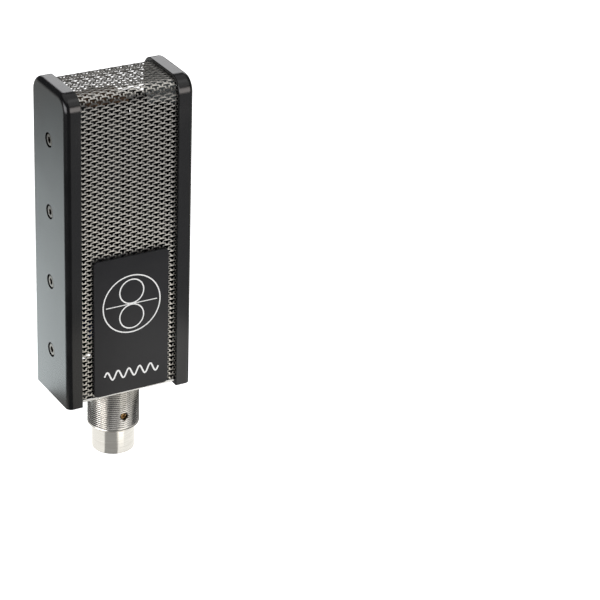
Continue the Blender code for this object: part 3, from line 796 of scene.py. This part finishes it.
def barrel():
    """Turned barrel: a real helical thread, a chamfer and the smooth sleeve below it."""
    outer = BARREL_HIGH.x
    top = BASE_LOW.z - GAP
    shoulder = INSERT_HIGH.z + GAP
    segments = 96
    thread_low = SLEEVE_LENGTH + BARREL_CHAMFER + 0.25 * MM
    thread_high = top - 0.3 * MM
    below = [
        (SLEEVE_RADIUS - 0.35 * MM, 0.0),
        (SLEEVE_RADIUS - 0.1 * MM, 0.1 * MM),
        (SLEEVE_RADIUS, 0.35 * MM),
        (SLEEVE_RADIUS, SLEEVE_LENGTH - 0.25 * MM),
        (SLEEVE_RADIUS - 0.12 * MM, SLEEVE_LENGTH - 0.2 * MM),
        (SLEEVE_RADIUS - 0.12 * MM, SLEEVE_LENGTH),
        (outer - BARREL_CHAMFER, SLEEVE_LENGTH),
        (outer - 0.05 * MM, SLEEVE_LENGTH + BARREL_CHAMFER),
        (outer, SLEEVE_LENGTH + BARREL_CHAMFER + 0.1 * MM),
    ]
    above = [
        (outer, thread_high + 0.1 * MM),
        (outer, top - 0.1 * MM),
        (outer - 0.15 * MM, top),
        (SPIGOT_RADIUS, top),
        (SPIGOT_RADIUS, BARREL_HIGH.z),
        (WIRE_BORE_RADIUS, BARREL_HIGH.z),
        (WIRE_BORE_RADIUS, shoulder),
        (SOCKET_RADIUS, shoulder),
        (SOCKET_RADIUS, 0.45 * MM),
        (SOCKET_RADIUS + 0.35 * MM, 0.0),
    ]
    samples = 8
    count = round((thread_high - thread_low) / THREAD_PITCH * samples)
    thread = []
    for level in range(count + 1):
        z = thread_low + (thread_high - thread_low) * level / count
        fade = min(1.0, (z - thread_low) / (0.8 * MM), (thread_high - z) / (0.5 * MM))
        ring = []
        for step in range(segments):
            angle = 2 * math.pi * step / segments
            phase = (z / THREAD_PITCH - step / segments) % 1.0
            flank = min(1.0, max(0.0, 1.35 * abs(2 * phase - 1) - 0.12))
            radius = outer - THREAD_DEPTH * fade * (1 - flank)
            ring.append((radius * math.cos(angle), radius * math.sin(angle), z))
        thread.append(ring)
    rings = turned_rings(below, segments) + thread + turned_rings(above, segments)
    made = from_rings("barrel", rings, "barrel_nickel", closed=True, angle=40)
    lock_z = sum(corner.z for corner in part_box("lock_screw")) / 2
    front = -outer
    carve(made, [drill(LOCK_HOLE_RADIUS, front - MM, front + LOCK_HOLE_DEPTH, "Y", 0, lock_z),
                 drill(LOCK_BORE_RADIUS, front - MM, -SOCKET_RADIUS + MM, "Y", 0, lock_z)], 40)
    put(made, nodes=["xlr_barrel"])
    mesh = socket_screw_mesh(*LOCK_SCREW)
    head_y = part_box("lock_screw")[0].y + LOCK_SCREW_RECESS
    # the brass finish paints the hole's shade and the screw's glints
    screw_at("insert_lock_screw", mesh, "brass", (0, head_y, lock_z), (90, 0, 20), "lock_screw")


def connector():
    """The moulded insert with a raised rim round each pin, and the three pins."""
    low, high = INSERT_LOW.z, INSERT_HIGH.z
    radius = INSERT_HIGH.x
    profile = [(radius - 0.4 * MM, low), (radius, low + 0.4 * MM), (radius, high - 0.3 * MM),
               (radius - 0.3 * MM, high)]
    insert = turned("insert", "insert_black", profile, 96)
    lock_z = sum(corner.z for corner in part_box("lock_screw")) / 2
    tools = [drill(LOCK_BORE_RADIUS, -SOCKET_RADIUS - MM, -SOCKET_RADIUS + 1.7 * MM, "Y", 0, lock_z)]
    for index in range(1, 4):
        pin_low, pin_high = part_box(f"xlr_pin_{index}")
        x, y = (pin_low.x + pin_high.x) / 2, (pin_low.y + pin_high.y) / 2
        tools.append(drill(PIN_HOLE_RADIUS, low - MM, high + MM, "Z", x, y, 48))
        pin_radius = (pin_high.x - pin_low.x) / 2
        profile = [(0.12 * MM, pin_low.z)]
        profile += [(pin_radius - PIN_TIP_RADIUS + u, pin_low.z + PIN_TIP_RADIUS + 0.05 * MM + v)
                    for u, v in arc(0, 0, PIN_TIP_RADIUS, 270, 360, 6)]
        profile += [(pin_radius, pin_high.z - 0.2 * MM), (pin_radius - 0.2 * MM, pin_high.z)]
        pin = turned(f"pin_{index}", "bright_steel", profile, 32)
        pin.location = (x, y, 0)
        put(pin, nodes=[f"xlr_pin_{index}"])
    carve(insert, tools)
    put(insert, nodes=["xlr_insert"])


# Ribbon and the inner pieces ----------------------------------------------------------------

def ribbon():
    """The folded foil in two halves, each folded along its length and running flat into its clamp."""
    middle = (RIBBON_LOW.z + RIBBON_HIGH.z) / 2
    half_span = RIBBON_HIGH.z - middle
    folds = 10
    swing = 0.26 * MM
    half_foil = 0.02 * MM
    samples = 8
    for word, side in (("bottom", -1), ("top", 1)):
        tab_low, tab_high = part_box(f"ribbon_tab_{word}")
        end = tab_low.z if side < 0 else tab_high.z
        steps = folds * samples
        heights = [middle + side * half_span * step / steps for step in range(steps + 1)]
        centre = []
        for step, height in enumerate(heights):
            fade = min(1.0, (steps - step) / samples)
            wave = swing * fade * math.sin(2 * math.pi * step / samples)
            centre.append((wave, height))
        centre.append((0.0, (heights[-1] + end) / 2))
        centre.append((0.0, end))
        outline = [(y - half_foil, z) for y, z in centre] + [(y + half_foil, z) for y, z in reversed(centre)]
        # the foil finish is darkened as painted shade inside the motor
        made = prism(f"foil_{word}", "foil", outline, "X", RIBBON_LOW.x, RIBBON_HIGH.x, 60)
        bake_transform(made)
        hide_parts(f"ribbon_tab_{word}", "ribbon")


def dress_inner_pieces():
    """A copy with fine bevelled edges and a procedural finish stands for every other CAD node.

    Bright metal that no light reaches through the grille takes the dark steel finish, as painted shade.
    """
    slots = {row["node"]: row["material_slot"] for row in frame["record"]["subparts"]}
    for name in sorted(NODES):
        node = NODES[name]
        if node.hide_render:
            continue
        work = bmesh.new()
        work.from_mesh(node.data)
        bmesh.ops.remove_doubles(work, verts=work.verts, dist=0.001 * MM)
        mesh = bpy.data.meshes.new(f"{name}_piece")
        work.to_mesh(mesh)
        work.free()
        smooth(mesh, 35)
        # painted shade: these bright metal pieces take the dark steel finish in place of their own tone
        unlit = name.startswith(("clamp_screw", "transformer_strap", "barrel_nut"))
        piece = new_object(f"{name}_piece", mesh, "painted_shade_steel" if unlit else slots[name])
        bevel = piece.modifiers.new("bevel", "BEVEL")
        bevel.width = 0.12 * MM
        bevel.segments = 2
        bevel.limit_method = "ANGLE"
        bevel.angle_limit = math.radians(50)
        put(piece, nodes=[name])


# Stage --------------------------------------------------------------------------------------

def camera():
    azimuth, elevation, roll = (math.radians(v) for v in (CAMERA_AZIMUTH, CAMERA_ELEVATION, CAMERA_ROLL))
    forward = Vector((math.sin(azimuth) * math.cos(elevation), math.cos(azimuth) * math.cos(elevation),
                      -math.sin(elevation)))
    level = Vector((math.cos(azimuth), -math.sin(azimuth), 0.0))
    upright = level.cross(forward)
    right = level * math.cos(roll) + upright * math.sin(roll)
    up = upright * math.cos(roll) - level * math.sin(roll)
    data = bpy.data.cameras.new("camera")
    data.lens = LENS
    data.sensor_width = 36.0
    data.clip_start = 0.05
    data.clip_end = 20.0
    made = bpy.data.objects.new("camera", data)
    bpy.context.scene.collection.objects.link(made)
    place = CAMERA_TARGET + right * AIM_RIGHT - up * AIM_DOWN - forward * CAMERA_DISTANCE
    turn = Matrix((right, up, -forward)).transposed().to_4x4()
    made.matrix_world = Matrix.Translation(place) @ turn
    bpy.context.scene.camera = made


def floor():
    """A plain white floor that glows a little, as an overlit table does."""
    made = surface("floor_white", (0.93, 0.93, 0.93), 0.9)
    shader = made.node_tree.nodes["Principled BSDF"]
    shader.inputs["Emission Color"].default_value = (1.0, 1.0, 1.0, 1.0)
    shader.inputs["Emission Strength"].default_value = 0.95
    tint(made, (0.92, 0.92, 0.92), (0.94, 0.94, 0.94), noise(made, 3.0))
    mesh = bpy.data.meshes.new("floor")
    size = 6.0
    corners = [(-size, -size, 0), (size, -size, 0), (size, size, 0), (-size, size, 0)]
    mesh.from_pydata(corners, [], [(0, 1, 2, 3)])
    mesh.materials.append(made)
    plane = bpy.data.objects.new("floor", mesh)
    plane.visible_glossy = False
    bpy.context.scene.collection.objects.link(plane)


def camera_side_axes():
    """Level directions to the right of the camera and towards it."""
    azimuth = math.radians(CAMERA_AZIMUTH)
    return ((math.cos(azimuth), -math.sin(azimuth), 0), (-math.sin(azimuth), -math.cos(azimuth), 0))


def math_node(tree, operation, *values):
    made = tree.nodes.new("ShaderNodeMath")
    made.operation = operation
    for socket, value in zip(made.inputs, values):
        if isinstance(value, bpy.types.NodeSocket):
            tree.links.new(value, socket)
        else:
            socket.default_value = value
    return made.outputs["Value"]


def bearing_node(tree, direction):
    """Degrees round the upright from the camera's side, right positive."""
    sides = []
    for axis in camera_side_axes():
        dot = tree.nodes.new("ShaderNodeVectorMath")
        dot.operation = "DOT_PRODUCT"
        tree.links.new(direction, dot.inputs[0])
        dot.inputs[1].default_value = axis
        sides.append(dot.outputs["Value"])
    return math_node(tree, "DEGREES", math_node(tree, "ARCTAN2", *sides))


def window(tree, offset, half, edge):
    """1 within half of the middle, falling softly to 0 over the edge."""
    made = tree.nodes.new("ShaderNodeMapRange")
    made.interpolation_type = "SMOOTHSTEP"
    for name, value in (("From Min", half), ("From Max", half + edge), ("To Min", 1.0), ("To Max", 0.0)):
        made.inputs[name].default_value = value
    tree.links.new(math_node(tree, "ABSOLUTE", offset), made.inputs["Value"])
    return made.outputs["Result"]


def sum_of_boxes(tree, base, boxes, bearing, height):
    """The base colour and every soft box's colour, added up."""
    total = None
    for middle, half, edge, level, half_level, level_edge, colour in boxes:
        turn = math_node(tree, "WRAP", math_node(tree, "SUBTRACT", bearing, middle), 180.0, -180.0)
        share = math_node(tree, "MULTIPLY", window(tree, turn, half, edge),
                          window(tree, math_node(tree, "SUBTRACT", height, level), half_level, level_edge))
        scaled = tree.nodes.new("ShaderNodeVectorMath")
        scaled.operation = "SCALE"
        scaled.inputs[0].default_value = colour
        tree.links.new(share, scaled.inputs["Scale"])
        added = tree.nodes.new("ShaderNodeVectorMath")
        added.operation = "ADD"
        tree.links.new(scaled.outputs["Vector"], added.inputs[0])
        if total:
            tree.links.new(total, added.inputs[1])
        else:
            added.inputs[1].default_value = base
        total = added.outputs["Vector"]
    return total


def studio_world():
    """Soft boxes by direction; the camera itself sees plain white behind the microphone."""
    world = bpy.data.worlds.new("studio")
    world.use_nodes = True
    bpy.context.scene.world = world
    tree = world.node_tree
    direction = tree.nodes.new("ShaderNodeTexCoord").outputs["Generated"]
    parts = tree.nodes.new("ShaderNodeSeparateXYZ")
    tree.links.new(direction, parts.inputs["Vector"])
    height = math_node(tree, "DEGREES", math_node(tree, "ARCSINE", parts.outputs["Z"]))
    total = sum_of_boxes(tree, SKY_BASE, SKY_BOXES, bearing_node(tree, direction), height)
    seen = tree.nodes.new("ShaderNodeMix")
    seen.data_type = "VECTOR"
    tree.links.new(tree.nodes.new("ShaderNodeLightPath").outputs["Is Camera Ray"], seen.inputs["Factor"])
    first, second = (socket for socket in seen.inputs if socket.name in "AB" and socket.type == "VECTOR")
    tree.links.new(total, first)
    second.default_value = (1.0, 1.0, 1.0)
    background = tree.nodes["Background"]
    mixed = next(socket for socket in seen.outputs if socket.type == "VECTOR")
    tree.links.new(mixed, background.inputs["Color"])


def glow_material(name):
    made = bpy.data.materials.new(name)
    made.use_nodes = True
    tree = made.node_tree
    tree.nodes.remove(tree.nodes["Principled BSDF"])
    glow = tree.nodes.new("ShaderNodeEmission")
    tree.links.new(glow.outputs["Emission"], tree.nodes["Material Output"].inputs["Surface"])
    place = tree.nodes.new("ShaderNodeTexCoord").outputs["Object"]
    parts = tree.nodes.new("ShaderNodeSeparateXYZ")
    tree.links.new(place, parts.inputs["Vector"])
    return made, glow, place, parts


def reflected_card(name, outline, made):
    """A flat card that only mirror-like surfaces see."""
    mesh = bpy.data.meshes.new(name)
    mesh.from_pydata([(x, y, 0) for x, y in outline], [], [list(range(len(outline)))])
    mesh.materials.append(made)
    card = bpy.data.objects.new(name, mesh)
    bpy.context.scene.collection.objects.link(card)
    card.visible_camera = False
    card.visible_diffuse = False
    card.visible_shadow = False
    card.visible_transmission = False
    return card


def table_card():
    """What the table close to the microphone mirrors."""
    made, glow, place, _ = glow_material("table_glow")
    tree = made.node_tree
    length = tree.nodes.new("ShaderNodeVectorMath")
    length.operation = "LENGTH"
    tree.links.new(place, length.inputs[0])
    millimetres = math_node(tree, "DIVIDE", length.outputs["Value"], MM)
    total = sum_of_boxes(tree, TABLE_BASE, TABLE_BOXES, bearing_node(tree, place), millimetres)
    tree.links.new(total, glow.inputs["Color"])
    card = reflected_card("table_card", arc(0, 0, TABLE_RADIUS, 0, 355, 71), made)
    _, towards = camera_side_axes()
    card.location = Vector(towards) * TABLE_CARD_SHIFT + Vector((0, 0, 0.3 * MM))


def side_card():
    """The lit table beyond the left cover: brighter close by and away from the camera."""
    made, glow, _, parts = glow_material("side_glow")
    tree = made.node_tree
    levels = []
    spans = (("X", (SIDE_CARD_START, SIDE_CARD_END), SIDE_CARD_LEVELS),
             ("Y", (SIDE_CARD_HALF_WIDTH, -SIDE_CARD_HALF_WIDTH), SIDE_CARD_ACROSS))
    for axis, (start, end), (low, high) in spans:
        spread = tree.nodes.new("ShaderNodeMapRange")
        for key, value in (("From Min", start), ("From Max", end), ("To Min", low), ("To Max", high)):
            spread.inputs[key].default_value = value
        tree.links.new(parts.outputs[axis], spread.inputs["Value"])
        levels.append(spread.outputs["Result"])
    glow.inputs["Color"].default_value = (*SIDE_CARD_COLOUR, 1.0)
    tree.links.new(math_node(tree, "MULTIPLY", *levels), glow.inputs["Strength"])
    near, far, wide = SIDE_CARD_START, SIDE_CARD_END, SIDE_CARD_HALF_WIDTH
    card = reflected_card("side_card", [(near, -wide), (far, -wide), (far, wide), (near, wide)], made)
    card.location = (-COVER_HIGH.x, 0, 0.5 * MM)
    card.rotation_euler = (0, 0, math.radians(90 + CAMERA_AZIMUTH))


def cover_box(number, box, lit):
    """One upright card that faces the top of the microphone, its glow fading towards its edges."""
    bearing, half, edge, height, half_height, height_edge, colour = box
    made, glow, _, parts = glow_material(f"cover_glow_{number}")
    tree = made.node_tree
    shares, reaches = [], []
    for axis, inner, soft in (("X", half, edge), ("Y", half_height, height_edge)):
        near = COVER_BOX_DISTANCE * math.tan(math.radians(inner))
        far = COVER_BOX_DISTANCE * math.tan(math.radians(inner + soft))
        shares.append(window(tree, parts.outputs[axis], near, far - near))
        reaches.append(far)
    glow.inputs["Color"].default_value = (*colour, 1.0)
    tree.links.new(math_node(tree, "MULTIPLY", *shares), glow.inputs["Strength"])
    wide, tall = reaches
    outline = [(-wide, -tall), (wide, -tall), (wide, tall), (-wide, tall)]
    card = reflected_card(f"cover_box_{number}", outline, made)
    right, towards = (Vector(axis) for axis in camera_side_axes())
    turn, rise = math.radians(bearing), math.radians(height)
    level = right * math.sin(turn) + towards * math.cos(turn)
    direction = level * math.cos(rise) + Vector((0, 0, math.sin(rise)))
    card.location = Vector((0, 0, COVER_HIGH.z)) + direction * COVER_BOX_DISTANCE
    card.rotation_euler = (-direction).to_track_quat("Z", "Y").to_euler()
    card.light_linking.receiver_collection = lit


def cover_boxes():
    """Soft boxes whose reflections only the covers show; to other pieces they are dark flags."""
    lit = bpy.data.collections.new("covers_only")
    for word in ("left", "right"):
        lit.objects.link(bpy.data.objects[f"cover_{word}"])
    for number, box in enumerate(COVER_BOXES):
        cover_box(number, box, lit)


def lights():
    studio_world()
    cover_boxes()
    table_card()
    side_card()


def main():
    cover(-1, "left")
    cover(1, "right")
    cover_screws()
    grille()
    badge_plate()
    badge_print()
    bottom_plate()
    barrel()
    connector()
    ribbon()
    dress_inner_pieces()
    camera()
    floor()
    lights()
    bpy.context.scene.view_settings.view_transform = "Standard"


FINISH = make_materials()
main()
